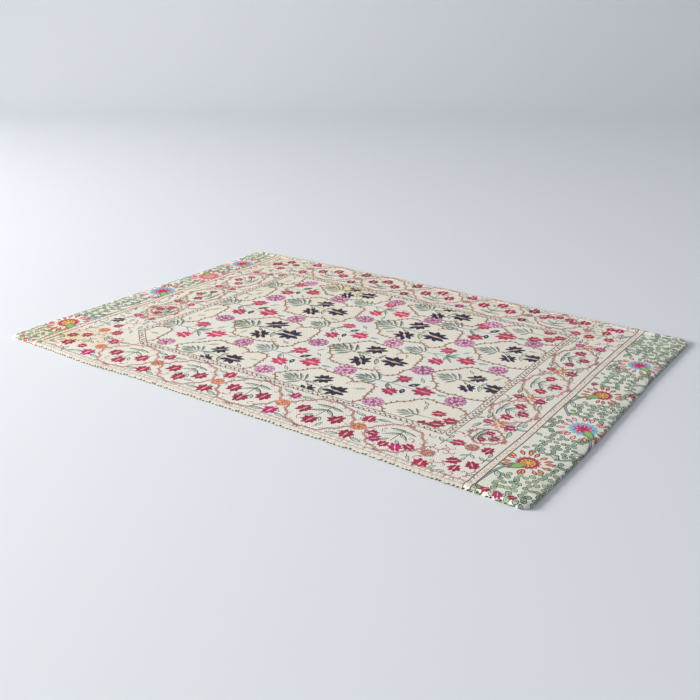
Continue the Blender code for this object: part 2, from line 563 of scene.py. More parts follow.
def field(pen):
    """The field: pale cells and open ones in a half-drop repeat, with a rosette where their vines touch."""
    pen.cloth.window = (FIELD_LEFT - 3, FIELD_RIGHT + 3, FIELD_NEAR - 3, FIELD_FAR + 3)
    pen.paint(box_outline(FIELD_LEFT - 3, FIELD_RIGHT + 3, FIELD_NEAR - 3, FIELD_FAR + 3), "field ground")
    sites = [(i, j, complex(x, y)) for i, x in enumerate(COLUMNS) for j, y in enumerate(ROWS)]
    for i, j, at in sites:
        if i % 2 == 0 and j % 2 == 1:
            near = ROWS[j] - ROWS[j - 1]
            far = ROWS[j + 1] - ROWS[j]
            cell(pen.moved(at), 78, 0.40 * (near + far))
    for i, j, at in sites:
        if not (FIELD_LEFT < at.real < FIELD_RIGHT and FIELD_NEAR < at.imag < FIELD_FAR):
            continue
        squeeze = 0.84 if at.real > 240 or at.imag > 180 or at.imag < -170 else 1.0
        if i % 2 == 0 and j % 2 == 1:
            if at.real > 240 and abs(at.imag) > 170:
                small_spray(pen.loose(at))
            else:
                dark_spray(pen.loose(at - (8 if at.real > 240 else 4), 0, squeeze * 0.98))
        elif i % 2 == 1 and j % 2 == 0:
            rose_spray(pen.loose(at - 2, 0, 0.9), (i // 2 + j // 2) % 3 != 1)
        else:
            mauve_rosette(pen.loose(at), 17.5 if squeeze == 1.0 else 16.0)
    pen.cloth.window = None


# The borders

def stripe(pen, start, end, width, edge, inner, thickness=1.2, speck_size=(6.4, 3.1)):
    """A guard stripe from start to end: two fine lines with leaf specks that lean to and fro between."""
    path = np.linspace(start, end, 2)
    side = 1j * (end - start) / abs(end - start)
    pen.paint(ribbon(path, width), "stripe ground")
    for offset in (-width / 2 + 0.6, width / 2 - 0.6):
        pen.paint(ribbon(path + side * offset, thickness), edge)
    turn = cmath.phase(end - start)
    length, speck_width = speck_size
    for count, (at, _) in enumerate(spaced(path, speck_size[0] * 0.66)):
        lean = 1 if count % 2 else -1
        speck = pen.loose(at + side * 0.15 * width * lean, turn + 0.7 * lean)
        speck.paint(petal(length, speck_width, 2) - length / 2, inner[count % len(inner)])


def curl(pen, size, ink="scroll edge"):
    """A small tendril that leaves along x and curls over to its left."""
    path = size * np.array([0, 0.5 + 0.12j, 0.92 + 0.5j, 0.72 + 0.95j, 0.34 + 0.8j])
    pen.paint(ribbon(path, 1.8, 0.5), ink)


def wreath(pen, half_length, half_height, bloom_size, blooms=3):
    """A border wreath: a scrolled ribbon round a small plant with its blooms, the rug's outside to -y."""
    quarter = [complex(x * half_length, y * half_height) for x, y in WREATH_QUARTER]
    upper = curve([complex(-point.real, point.imag) for point in quarter] + quarter[-2::-1], 3)
    for half in (upper, np.conj(upper)):
        pen.paint(ribbon(half, 3.5), "scroll edge")
        pen.paint(ribbon(half, 1.4), "scroll")
        for count, (at, turn) in enumerate(spaced(half, 13.0)):
            side = 1 if count % 2 else -1
            knot = pen.loose(at, turn, mirrored=side < 0)
            curl(knot, 6.5, "scroll edge" if count % 3 else "scroll bud")
            knot.moved(0, -1.9).paint(petal(4.8, 2.4, 2), "scroll bud")
    for across in (1, -1):
        for turn in (0.35, 1.0, 2.14, 2.79):
            pen.moved(1j * across * half_height, across * turn).paint(petal(8.0, 3.2, 3), "scroll bud")
    stalk(pen, (0.7j * half_height, 0.1j * half_height, -0.25j * half_height), 1.5)
    for side in (1, -1):
        bend = 0.2 * side * half_length + 0.2j * half_height
        stalk(pen, (0.35j * half_height, bend, 0.42 * side * half_length), 1.2)
        leaf(pen.loose(0.62j * half_height, -math.pi / 2 + side * 1.15), 21, 6.8, 0.24 * side)
        leaf(pen.loose(0.40j * half_height, -math.pi / 2 + side * 0.75), 20, 6.4, 0.2 * side)
        leaf(pen.loose(side * 0.1 * half_length - 0.1j * half_height, -math.pi / 2 + side * 0.7), 14, 5.2)
    if blooms == 3:
        for at, turn in ((0.47 * half_length, 1.4), (-0.47 * half_length, 1.4), (-0.46j * half_height, -1.6)):
            cup_bloom(pen.loose(at, turn), bloom_size)
        return
    for count in range(blooms):
        turn = -2.95 + 2.55 * count / (blooms - 1)
        at = complex(0.64 * half_length * math.cos(turn), 0.60 * half_height * math.sin(turn))
        size, ink = (1.1 * bloom_size, "magenta") if count % 2 else (bloom_size, "crimson")
        cup_bloom(pen.loose(at, turn), size, ink)


def border_side(pen, knots, half_height, bloom_size, knot, ink="crimson"):
    """One side of the inner border, along x with the rug's outside to -y: rosettes with wreaths between."""
    for start, end in zip(knots, knots[1:]):
        wreath(pen.loose((start + end) / 2), (end - start) / 2 - 7, half_height, bloom_size)
    for count, place in enumerate(knots):
        knot(pen.loose(place))
        for side in (1, -1):
            at = place + 1j * side * (half_height - 14)
            stalk(pen, (place + 12j * side, at), 1.2)
            for way in (1, -1):
                turn = side * (0.3 if way > 0 else math.pi - 0.3)
                leaf(pen.loose(at + way * 8 + 3j * side, turn), 21, 6.6, -0.1 * way * side)
                leaf(pen.loose(at - 7j * side + 3 * way, side * (math.pi / 2 - way * 1.1)), 12, 4.8)
            cup_bloom(pen.loose(at, side * math.pi / 2), bloom_size * (0.85 if side > 0 else 1.0),
                      ink if count % 3 else "magenta")


def orange_knot(pen):
    """A round orange flower of the long borders."""
    rosette(pen, 10.6, 12, "orange", "peach", "orange deep")


def brick_knot(pen):
    rosette(pen, 9.5, 11, "brick", "scroll", "brick deep")


def pale_knot(pen):
    rosette(pen, 8.5, 10, "scroll edge", "scroll", "brick deep")


def daisy(pen):
    """An open flower of thin orange petals."""
    for ray in range(10):
        arm = pen.loose(0, math.tau * ray / 10)
        arm.paint(1.5 + petal(10.5, 3.6, 3), "orange" if ray % 2 else "orange deep")
        arm.paint(3.5 + petal(7.0, 1.4, 2), "peach")
    pen.paint(disc(2.2, 6), "gold")


NEAR_KNOTS = (-289, -171, -51, 68, 190)
FAR_KNOTS = (-281, -165, -47, 70, 190)
RIGHT_KNOTS = (-142, -48, 65, 180)
LEFT_KNOTS = (-122, -30, 76, 184)

# Single blooms of the border's corners: place, size, ink, turn
CORNER_BLOOMS = ((315 - 216j, 10.5, "crimson", 0.2), (356 - 214j, 10.0, "crimson", 1.5),
                 (332 - 259j, 10.5, "crimson", 0.6), (356 - 257j, 10.5, "crimson", 2.2),
                 (344 - 274j, 9.5, "crimson", 1.6), (304 - 288j, 12.0, "crimson", 1.6),
                 (-340 - 177j, 9.5, "rose deep", 0.6), (-314 - 199j, 11.5, "crimson", 0.9),
                 (-348 - 232j, 11.0, "crimson", 1.2), (-367 - 245j, 10.5, "crimson", 0.2),
                 (-348 - 270j, 12.0, "crimson", 1.8), (-318 - 268j, 9.0, "rose deep", 0.5),
                 (-357 + 251j, 11.5, "crimson deep", 1.2), (-338 + 274j, 11.0, "crimson deep", 2.0),
                 (-332 + 230j, 10.5, "crimson", 0.3), (-318 + 262j, 9.5, "crimson deep", 1.2),
                 (331 + 257j, 10.5, "scarlet", 1.5), (314 + 226j, 10.5, "scarlet", 0.5),
                 (345 + 228j, 10.5, "scarlet", 2.6), (330 + 277j, 9.5, "magenta", 1.6),
                 (346 + 277j, 9.5, "magenta", 1.6), (285 + 281j, 11.0, "crimson", 1.6),
                 (290 + 227j, 11.0, "crimson", 0.0))
# Leaf sprigs of the corners: place and turn
CORNER_SPRIGS = ((342 - 240j, -1.6), (322 - 291j, 0.2), (300 - 219j, 1.57), (364 - 236j, 1.57),
                 (360 - 137j, 1.3), (300 - 137j, 1.57), (-368 - 203j, 1.2), (-326 - 243j, -0.6),
                 (-330 - 292j, 0.1), (-372 - 280j, 0.9), (-362 - 178j, 0.8), (-310 - 226j, 0.3),
                 (-372 + 232j, 1.1), (-312 + 285j, 0.2), (-340 + 208j, 0.3), (-372 + 276j, 1.9),
                 (330 + 238j, -1.57), (303 + 192j, 1.57), (303 + 252j, 1.5), (358 + 250j, 1.7),
                 (312 + 285j, 0.3), (268 + 228j, 0.2), (-306 + 226j, 1.9), (-300 + 178j, 1.6))
# Scroll pieces of the corners: place and turn
CORNER_SCROLLS = ((351 - 294j, 0.1), (318 - 241j, -0.8), (366 - 273j, 1.5), (300 - 246j, 0.3),
                  (320 - 275j, 0.9), (-330 - 220j, 0.9), (-372 - 222j, 1.5), (-330 - 256j, 0.3),
                  (-352 - 292j, 0.2), (-318 - 180j, 1.3), (-372 - 258j, 1.4), (-346 + 292j, 0.1),
                  (-350 + 228j, 0.8), (-316 + 243j, 1.2), (-372 + 254j, 1.5), (310 + 243j, 1.0),
                  (352 + 250j, 1.3), (318 + 206j, 2.0), (345 + 206j, 1.0), (300 + 270j, 1.4),
                  (360 + 288j, 0.4), (306 + 293j, 0.1))
CORNER_KNOTS = ((299 - 260j, brick_knot), (336 - 218j, brick_knot), (-342 - 203j, orange_knot),
                (-301 + 198j, brick_knot), (300 + 252j, pale_knot), (-338 + 252j, pale_knot))


def sprig(pen):
    """Three outlined leaves on a short stem along x."""
    stalk(pen, (-12, 0, 9), 1.1)
    leaf(pen.loose(-6, 0.75), 13, 5.4, 0.15)
    leaf(pen.loose(-3, -0.75), 13, 5.4, -0.15)
    leaf(pen.loose(6, 0.05), 12, 5.0)


def scroll_piece(pen):
    """A bent bit of scroll with two tendrils and small buds."""
    pen.paint(ribbon(curve((-13, -6 + 3j, 2 - 1j, 12 + 2j), 3), 1.9, 0.3), "scroll edge")
    curl(pen.loose(-5 + 2j, 0.7), 7.0)
    curl(pen.loose(3 - 1j, -0.7, mirrored=True), 7.0, "scroll bud")
    for at, turn in ((-12, 2.4), (-8 + 2j, -1.4), (8 + 1j, 1.5), (12 + 2j, -0.4)):
        pen.loose(at, turn).paint(petal(5.2, 2.7, 3), "scroll bud")


def inner_border(pen):
    """The inner border on all four sides, with its corner sprays."""
    border_side(pen.moved(-253j), NEAR_KNOTS, 41, 12.6, orange_knot)
    border_side(pen.moved(260j, mirrored=True), FAR_KNOTS, 40, 12.2, pale_knot, "crimson deep")
    border_side(pen.moved(333, math.pi / 2), RIGHT_KNOTS, 31, 9.8, daisy, "crimson")
    border_side(pen.moved(-338, math.pi / 2, mirrored=True), LEFT_KNOTS, 31, 9.0, pale_knot)
    wreath(pen.loose(244 - 254j), 45, 37, 9.2, 5)
    wreath(pen.loose(244 + 260j, mirrored=True), 45, 37, 9.2, 5)
    wreath(pen.loose(335 - 180j, math.pi / 2), 25, 24, 7.8)
    wreath(pen.loose(-336 - 78j, math.pi / 2, mirrored=True), 26, 26, 7.4)
    for place, turn in CORNER_SCROLLS:
        scroll_piece(pen.loose(place, turn))
    for place, turn in CORNER_SPRIGS:
        sprig(pen.loose(place, turn))
    for place, knot in CORNER_KNOTS:
        knot(pen.loose(place))
    for place, size, ink, turn in CORNER_BLOOMS:
        cup_bloom(pen.loose(place, turn), size, ink)
    star_bloom(pen.loose(-363 - 156j, 0.3), 12)


# Inks of the great flowers: halo, loops, and inside the loops
SUNBURST_INKS = {"blue": ("sky", "rose deep", "blush"), "gold": ("crimson", "crimson", "gold"),
                 "red": ("rose light", "rose deep", "rose light"),
                 "ember": ("crimson", "scarlet", "rose light")}


def sunburst(pen, kind):
    """A great end-border flower: a middle, a halo, and loops of petals all round."""
    halo, loop, inside = SUNBURST_INKS[kind]
    petals = 16
    golden = kind in ("gold", "ember")
    ring = 17.0 if golden else 20.0
    for k in range(petals):
        arm = pen.loose(0, math.tau * k / petals)
        arm.paint(ring + petal(13.5, 6.4, 4, 1.1), loop if k % 3 else "crimson")
        arm.paint(ring + 2.4 + petal(8.8, 2.3 if golden else 3.3, 3, 1.1), inside)
    pen.paint(scalloped(16.0 if golden else 19.5, 16, 0.18), halo)
    if kind == "blue":
        pen.paint(scalloped(10.5, 9, 0.2), "magenta")
        for k in range(9):
            arm = pen.moved(0, math.tau * (k + 0.5) / 9)
            arm.paint(5.0 + petal(9.0, 6.0, 3, 0.8), "magenta")
            arm.paint(5.5 + petal(6.5, 2.0, 2), "blush")
        pen.paint(scalloped(4.6, 6, 0.3), "crimson")
    elif golden:
        for k in range(16):
            pen.moved(0, math.tau * k / 16).paint(disc(1.2, 5) + 12.8, "rose light")
        pen.paint(scalloped(9.6, 12, 0.12), "gold")
        for k in range(9):
            pen.moved(0, math.tau * k / 9).paint(2.0 + petal(8.5, 2.2, 3), "orange deep")
    else:
        for k in range(14):
            arm = pen.moved(0, math.tau * k / 14)
            arm.paint(8.0 + petal(9.5, 2.4, 3), "rose deep")
            arm.paint(2.0 + petal(7.0, 1.8, 2), "rose light")


def calyx(pen):
    """The green cup under a great flower, from its middle outwards to +x."""
    pen.paint(leaf_shape(24, 13, 0, 6) + 4, "fresh edge")
    pen.paint(leaf_shape(20, 9.5, 0, 5) + 5, "fresh leaf")


def clover(pen, edge="clover edge"):
    """A sprig of three round leaflets, each pale inside a dark edge, with a dark rib."""
    for turn in (0.0, 2.09, -2.09):
        leaflet = pen.loose(5.0 * cmath.exp(1j * turn), turn)
        leaflet.paint(rounded_leaflet(8.6), edge)
        leaflet.paint(rounded_leaflet(6.5), "clover heart")
        leaflet.paint(petal(6.8, 0.9, 2) - 4.2, edge)


def rounded_leaflet(length):
    round_shape = disc(0.5 * length, 8 if length > 7 else 6)
    return round_shape.real + 0.86j * round_shape.imag


# The great flowers of each end border: place, kind, where its cup points
RIGHT_FLOWERS = ((420 + 155j, "blue", -0.67), (412 + 21j, "gold", -2.2), (426 - 91j, "blue", -0.75),
                 (408 - 212j, "gold", -2.03))
LEFT_FLOWERS = ((-416 + 212j, "blue", -0.6), (-414 + 113j, "red", 2.6), (-418 - 6j, "blue", -0.7),
                (-418 - 214j, "ember", -0.5))
RIGHT_STEMS = ((371 + 318j, 373 + 262j, 377 + 215j, 399 + 182j),
               (437 + 142j, 449 + 118j, 455 + 88j, 452 + 60j, 436 + 42j),
               (394 + 8j, 384 - 14j, 382 - 40j, 398 - 66j),
               (438 - 104j, 450 - 128j, 453 - 156j, 442 - 180j, 428 - 188j),
               (394 - 222j, 384 - 250j, 380 - 280j, 378 - 318j))
LEFT_STEMS = ((-398 + 196j, -388 + 170j, -390 + 146j, -402 + 134j),
              (-430 + 98j, -446 + 70j, -444 + 34j, -432 + 14j),
              (-400 - 24j, -392 - 60j, -394 - 120j, -404 - 190j),
              (-398 - 226j, -388 - 250j, -386 - 280j, -390 - 318j))
CLOVER_PITCH = 16.6


def end_border(pen, low, high, flowers, stems, flower_size=1.0):
    """One end border, from low to high along the rug: great flowers on winding stems, over rows of clover."""
    chance = pen.cloth.chance
    pen.paint(box_outline(low, high, -HALF_WIDTH - OVERHANG, HALF_WIDTH + OVERHANG), "end ground")
    paths = [curve(stem, 5) for stem in stems]
    stem_points = np.concatenate(paths)
    centres = np.array([at for at, _, _ in flowers])
    for row in range(-24, 25):
        for step in range(-4, 5):
            at = complex((low + high) / 2 + step * CLOVER_PITCH + 3.2 * math.sin(0.8 * row),
                         row * 0.88 * CLOVER_PITCH + step * 5.0)
            clear = np.abs(centres - at).min() > 28 * flower_size
            clear = clear and np.abs(stem_points - at).min() > 6.0
            if low + 6 < at.real < high + 3 and abs(at.imag) < HALF_WIDTH + 6 and clear:
                clover(pen.loose(at, chance.uniform(0, 2.1), chance.uniform(0.92, 1.1)),
                       "olive edge" if abs(at.imag) > 205 and chance.random() < 0.7 else "clover edge")
    for path in paths:
        pen.paint(ribbon(path, 4.2), "stem edge")
    for path in paths:
        pen.paint(ribbon(path, 2.4), "stem")
        for count, (at, turn) in enumerate(spaced(path, 20.0)):
            side = 1 if count % 2 else -1
            leaf(pen.loose(at, turn + side * 0.8), 19, 8.0, 0.1 * side, "leaf" if count % 3 else "fresh leaf")
    for at, kind, cup in flowers:
        flower = pen.loose(at, 0, flower_size)
        sunburst(flower, kind)
        calyx(flower.moved(0, cup))


def filled(pen, region, pitch, gap, motif):
    """Puts a small motif wherever a region's ground is still bare for a gap all round."""
    left, right, near, far = region
    chance = pen.cloth.chance
    drawn = [outline for outline, inked in zip(pen.cloth.outlines, pen.cloth.inked) if inked]
    points = np.concatenate(drawn)
    points = points[(points.real > left - gap) & (points.real < right + gap)
                    & (points.imag > near - gap) & (points.imag < far + gap)]
    for y in np.arange(near + pitch / 2, far, pitch):
        for x in np.arange(left + pitch / 2, right, pitch):
            at = complex(x + chance.uniform(-0.4, 0.4) * pitch, y + chance.uniform(-0.4, 0.4) * pitch)
            if np.abs(points - at).min() > gap:
                motif(pen.moved(at, chance.uniform(0, math.tau), chance.uniform(0.85, 1.15)))
                points = np.append(points, at + 0.5 * gap * np.array([0, 1, -1, 1j, -1j]))


def lone_leaf(pen):
    """One pale leaf with its stalk."""
    stalk(pen, (-9, 0), 0.9)
    leaf(pen.moved(-5), 14, 5.2, 0.12)


def small_leaf(pen):
    leaf(pen.moved(-5), 10.5, 6.0, 0.1, "clover heart", "clover edge")


def scroll_bud(pen):
    """A curl with a bud, for small gaps in the borders."""
    curl(pen.moved(-3), 7.5)
    pen.moved(-3, 2.6).paint(petal(6.0, 3.2, 3), pen.cloth.chance.choice(("crimson", "scroll bud", "rose")))


# The long edges' bound look: its ends, how far out its darker band starts, and its fine lines; the band is
# its own tone made darker still with painted shade
BOUND_LEFT, BOUND_RIGHT = -385, 370
BAND_START = 301.8
FINE_LINES = ((295.4, 1.1, "scroll edge"), (BAND_START, 0.9, "soft line"))
# Rows of ticks: how far out, pitch, first and last count, turn, length, width, inks in turn
TICK_ROWS = ((298.6, 8.2, -46, 46, 1.35, 6.4, 1.9, ("soft line", "feather light", "feather light")),
             (304.4, 5.8, -65, 63, 1.2, 4.8, 1.7, ("soft line", "feather light", "scroll")),
             (307.2, 5.8, -77, 78, 0.5, 6.0, 2.6, ("ink",)))


def edge_lines(pen):
    """The bound look of each long edge: a darker band of its own tone with painted shade over it, two fine
    lines, and rows of slanting ticks.
    """
    for side in (1, -1):
        near, far = sorted((side * BAND_START, side * (HALF_WIDTH + OVERHANG)))
        # The band's ink carries painted shade as well as its own tone, darker to hold down the lit hem
        pen.paint(box_outline(BOUND_LEFT, BOUND_RIGHT, near, far), "painted shade hem ground")
        for y, width, ink in FINE_LINES:
            pen.paint(box_outline(BOUND_LEFT, BOUND_RIGHT, side * y - width / 2, side * y + width / 2), ink)
        for y, pitch, first, last, turn, length, width, inks in TICK_ROWS:
            for count in range(first, last):
                tick = pen.loose(complex(count * pitch, side * y), turn)
                tick.paint(petal(length, width, 2) - length / 2, inks[count % len(inks)])


# Small blooms and marks that run over the hem: place, size, ink, turn
HEM_BLOOMS = ((396 - 296j, 7.0, "crimson", 1.2), (412 - 300j, 7.5, "magenta", 1.9),
              (428 - 296j, 7.0, "crimson", 1.0), (388 + 52j, 6.0, "crimson", 0.4),
              (446 + 45j, 6.5, "crimson", 1.3), (398 + 128j, 5.5, "crimson", 0.8),
              (-396 - 301j, 4.5, "orange", 0.7), (-412 - 303j, 5.0, "scarlet", 1.4),
              (-428 - 299j, 4.5, "orange", 2.0), (-440 - 288j, 4.0, "scarlet", 0.3))


# The guard stripes between field, border and ends
GUARD_STRIPES = ((-250 - 203.5j, 297 - 203.5j), (-296 + 212j, 297 + 212j), (292 - 209j, 292 + 217j),
                 (-291.5 - 168j, -291.5 + 217j), (-295 - 166j, -247 - 205j))
GUARD_SPECKS = ("speck", "feather", "speck", "scroll bud")
END_STRIPES = (375.2, -391.0)
END_SPECKS = ("speck", "stripe ground", "soft line", "stripe ground", "scroll", "soft line", "feather light")
# The corner of the field's ground that its slanting stripe cuts off
CUT_CORNER = (-300 - 210j, -248 - 203j, -296 - 162j)
# Where the inner border and the end borders are filled: left, right, near, far
BORDER_REGIONS = ((-384, 368, -290, -212), (-384, 368, 220, 292), (300, 366, -212, 220),
                  (-382, -300, -212, 220))
END_REGIONS = ((383, 450, -300, 300), (-450, -399, -300, 300))


def paint_rug():
    """The whole print, painted from the field outwards."""
    cloth = Cloth(PRINT_SEED)
    pen = Pen(cloth)
    reach_x = HALF_LENGTH + OVERHANG
    reach_y = HALF_WIDTH + OVERHANG
    pen.paint(box_outline(-reach_x, reach_x, -reach_y, reach_y), "ground")
    field(pen)
    pen.paint(np.array(CUT_CORNER), "ground")
    inner_border(pen)
    for start, end in GUARD_STRIPES:
        stripe(pen, start, end, 11.0, "line", GUARD_SPECKS)
    end_border(pen, 381, reach_x, RIGHT_FLOWERS, RIGHT_STEMS)
    end_border(pen, -reach_x, -397, LEFT_FLOWERS, LEFT_STEMS, 1.22)
    for region in END_REGIONS:
        filled(pen, region, 7.0, 7.6, small_leaf)
    for x in END_STRIPES:
        stripe(pen, complex(x, -reach_y), complex(x, reach_y), 10.8, "line", END_SPECKS, 1.6, (6.0, 1.6))
    for region in BORDER_REGIONS:
        filled(pen, region, 7.0, 11.5, scroll_piece)
        filled(pen, region, 6.0, 8.4, lone_leaf)
        filled(pen, region, 5.0, 6.6, scroll_bud)
    filled(pen, (FIELD_LEFT + 4, FIELD_RIGHT - 4, FIELD_NEAR + 4, FIELD_FAR - 4), 8.0, 10.5, lone_leaf)
    for place, size, ink, turn in HEM_BLOOMS:
        cup_bloom(pen.loose(place, turn), size, ink)
    edge_lines(pen)
    return cloth


# The sheet

def kept_on(outline):
    """An outline with the points that lie beyond the cloth's rim drawn in to it."""
    depth, way = inset(outline)
    return outline - way * np.maximum(0, 0.15 - OVERHANG - depth)


def triangulate(places, edges, faces, kind):
    """Triangles that join the places and keep every edge: places, triangles, each place's first source."""
    points = [Vector((place.real, place.imag)) for place in places]
    found = delaunay_2d_cdt(points, edges, faces, kind, MERGE, True)
    verts = np.array([complex(vert.x, vert.y) for vert in found[0]])
    sources = [ids[0] if ids else -1 for ids in found[3]]
    return verts, np.array([list(face) for face in found[2]]), sources


def covers(outline, places):
    """Which places lie inside the outline, however it winds."""
    start = outline[:, None]
    end = np.roll(outline, -1)[:, None]
    side = ((end - start).conjugate() * (places - start)).imag
    rises = (start.imag <= places.imag) & (end.imag > places.imag) & (side > 0)
    falls = (start.imag > places.imag) & (end.imag <= places.imag) & (side < 0)
    return rises.sum(axis=0) != falls.sum(axis=0)


def topmost(cloth, middles):
    """The last painted outline over each place."""
    order = np.argsort(middles.real)
    middles = middles[order]
    top = np.zeros(len(middles), int)
    for index, outline in enumerate(cloth.outlines):
        first, last = np.searchsorted(middles.real, (outline.real.min(), outline.real.max()))
        heights = middles.imag[first:last]
        near = first + np.nonzero((heights > outline.imag.min()) & (heights < outline.imag.max()))[0]
        if len(near):
            top[near[covers(outline, middles[near])]] = index
    found = np.empty_like(top)
    found[order] = top
    return found


def changes(faces, top):
    """Edges between triangles that lie under different outlines, as pairs of corners."""
    pairs = np.sort(np.concatenate([faces[:, [0, 1]], faces[:, [1, 2]], faces[:, [2, 0]]]), axis=1)
    owner = np.tile(top, 3)
    order = np.lexsort((pairs[:, 1], pairs[:, 0]))
    pairs = pairs[order]
    owner = owner[order]
    shared = (pairs[1:] == pairs[:-1]).all(axis=1) & (owner[1:] != owner[:-1])
    return pairs[1:][shared].tolist()


def straightened(places, pairs, slack):
    """The edges without the corners that join only two of them and lie within slack of a straight line."""
    around = {}
    for first, second in pairs:
        around.setdefault(first, set()).add(second)
        around.setdefault(second, set()).add(first)
    for corner in list(around):
        if len(around[corner]) != 2:
            continue
        first, second = around[corner]
        line = places[second] - places[first]
        off = abs(((places[corner] - places[first]).conjugate() * line).imag)
        if second not in around[first] and off < slack * abs(line):
            del around[corner]
            around[first].symmetric_difference_update((corner, second))
            around[second].symmetric_difference_update((corner, first))
    return [(first, second) for first in around for second in around[first] if first < second]


# The longest cut edge: round the fold, in the hem, and inside by the inner grid's step
FOLD_CUT = 2.4
HEM_CUT = 7.0


def halved(starts, ends):
    """Lines cut in half again and again until each is short enough for the bend of the sheet under it."""
    done = []
    while len(starts):
        depth = np.minimum(inset(starts)[0], inset(ends)[0])
        limit = np.where(depth < FOLD + 1, FOLD_CUT, np.where(depth < HEM_ROWS[-1], HEM_CUT, INNER_STEP))
        long = np.abs(ends - starts) > limit
        done.append(np.stack([starts[~long], ends[~long]], axis=1))
        middles = (starts[long] + ends[long]) / 2
        starts, ends = np.concatenate([starts[long], middles]), np.concatenate([middles, ends[long]])
    return np.concatenate(done)


def cut_print(cloth):
    """The flat print as one triangulation: places, triangles, and the outline on top of each."""
    rows = [FOLD - FOLD * math.pi * (1 - k / FOLD_ROWS) for k in range(FOLD_ROWS)]
    border = rim(rows[0], RIM_STEP)
    ring = [(k, (k + 1) % len(border)) for k in range(len(border))]
    cloth.outlines = [kept_on(outline) for outline in cloth.outlines]

    # All outlines are cut first, to find which of their edges show
    edges = list(ring)
    start = len(border)
    for outline in cloth.outlines[1:]:
        count = len(outline)
        edges += [(start + k, start + (k + 1) % count) for k in range(count)]
        start += count
    verts, faces, _ = triangulate(np.concatenate([border] + cloth.outlines[1:]), edges, [], 0)
    shown = straightened(verts.tolist(), changes(faces, topmost(cloth, verts[faces].mean(axis=1))), SLACK)

    # Then only those edges are cut, with points that let the sheet bend
    shown = np.array(shown)
    pieces = halved(verts[shown[:, 0]], verts[shown[:, 1]])
    kept, index = np.unique(pieces.round(5).ravel(), return_inverse=True)
    loose = [rim(depth, RIM_STEP) for depth in rows[1:] + list(HEM_ROWS)] + [inner_grid(24.0, INNER_STEP)]
    places = np.concatenate([border, kept] + loose)
    edges = ring + (index.reshape(-1, 2) + len(border)).tolist()
    verts, faces, _ = triangulate(places, edges, [], 0)
    return verts, faces, topmost(cloth, verts[faces].mean(axis=1))


def boundary(faces):
    """The loop of corners round a sheet of triangles, in the order in which the triangles turn."""
    edges = {(a, b) for face in faces.tolist() for a, b in zip(face, face[1:] + face[:1])}
    after = {a: b for a, b in edges if (b, a) not in edges}
    loop = [next(iter(sorted(after)))]
    while after[loop[-1]] != loop[0]:
        loop.append(after[loop[-1]])
    return loop


def close_below(verts, faces):
    """The flat underside on the same rim: its added places, and its triangles facing down."""
    loop = boundary(faces)
    lying, _ = settled(verts[loop])
    inner = inner_grid(20.0, UNDER_STEP)
    places = np.concatenate([lying, inner])
    found, under, sources = triangulate(places, [], [list(range(len(loop)))], 1)
    index = np.array([loop[source] if source < len(loop) else len(verts) + source - len(loop)
                      for source in sources])
    return inner, index[under][:, ::-1]


def linear(colour):
    colour = np.clip(np.asarray(colour, float), 0, 1)
    return np.where(colour < 0.04045, colour / 12.92, ((colour + 0.055) / 1.055) ** 2.4)


def add_attribute(mesh, name, kind, domain, field_name, values):
    layer = mesh.attributes.new(name, kind, domain)
    layer.data.foreach_set(field_name, np.asarray(values, np.float32).ravel())


def bake_map(mesh, flat, is_under):
    """A map for baking: the printed face fills nearly all of it, and the underside a strip below."""
    share_x = flat.real / (2 * (HALF_LENGTH + OVERHANG)) + 0.5
    share_y = flat.imag / (2 * (HALF_WIDTH + OVERHANG)) + 0.5
    u = np.where(is_under, 0.01 + 0.06 * share_x, 0.01 + 0.98 * share_x)
    v = np.where(is_under, 0.005 + 0.035 * share_y, 0.05 + 0.94 * share_y)
    layer = mesh.uv_layers.new(name="OFBake")
    layer.data.foreach_set("uv", np.stack([u, v], axis=-1).astype(np.float32).ravel())


def in_scene(name, data):
    """A new object of the data, in the scene."""
    thing = bpy.data.objects.new(name, data)
    bpy.context.scene.collection.objects.link(thing)
    return thing


def sheet_piece():
    """The rug's cloth as one closed sheet with the print cut into its upper face."""
    cloth = paint_rug()
    verts, faces, top = cut_print(cloth)
    inner, under = close_below(verts, faces)
    below = bowed(inner)
    below = np.stack([below.real, below.imag, np.zeros(len(inner))], axis=-1)
    points = np.concatenate([surface(verts), below])
    down = np.tile([0.0, 0.0, -1.0], (len(inner), 1))
    normals = np.concatenate([surface_normals(verts), down])
    triangles = np.concatenate([faces, under])
    mesh = bpy.data.meshes.new("rug_cloth")
    mesh.from_pydata((points * MM).tolist(), [], triangles.tolist())
    mesh.shade_smooth()
    corners = triangles.ravel()
    is_under = np.repeat(np.arange(len(triangles)) >= len(faces), 3)
    flat = np.concatenate([verts, inner])[corners]
    colours = np.array([list(linear(colour)) + [inked] for colour, inked in zip(cloth.colours, cloth.inked)])
    back = np.append(linear(np.array(INKS["back"]) / 255), 0.0)
    shown = np.append(top, np.zeros(len(under), int))
    ink = np.where(is_under[:, None], back, np.repeat(colours[shown], 3, axis=0))
    thread = np.where(is_under, 0.0, np.repeat(np.array(cloth.threads)[shown], 3))
    add_attribute(mesh, "ink", "FLOAT_COLOR", "CORNER", "color", ink)
    weave = np.stack([flat.real, flat.imag, thread], axis=-1)
    add_attribute(mesh, "weave", "FLOAT_VECTOR", "CORNER", "vector", weave)
    bake_map(mesh, flat, is_under)
    mesh.normals_split_custom_set_from_vertices(normals.tolist())
    mesh.materials.append(cloth_material())
    return in_scene("rug_cloth", mesh)


# Materials

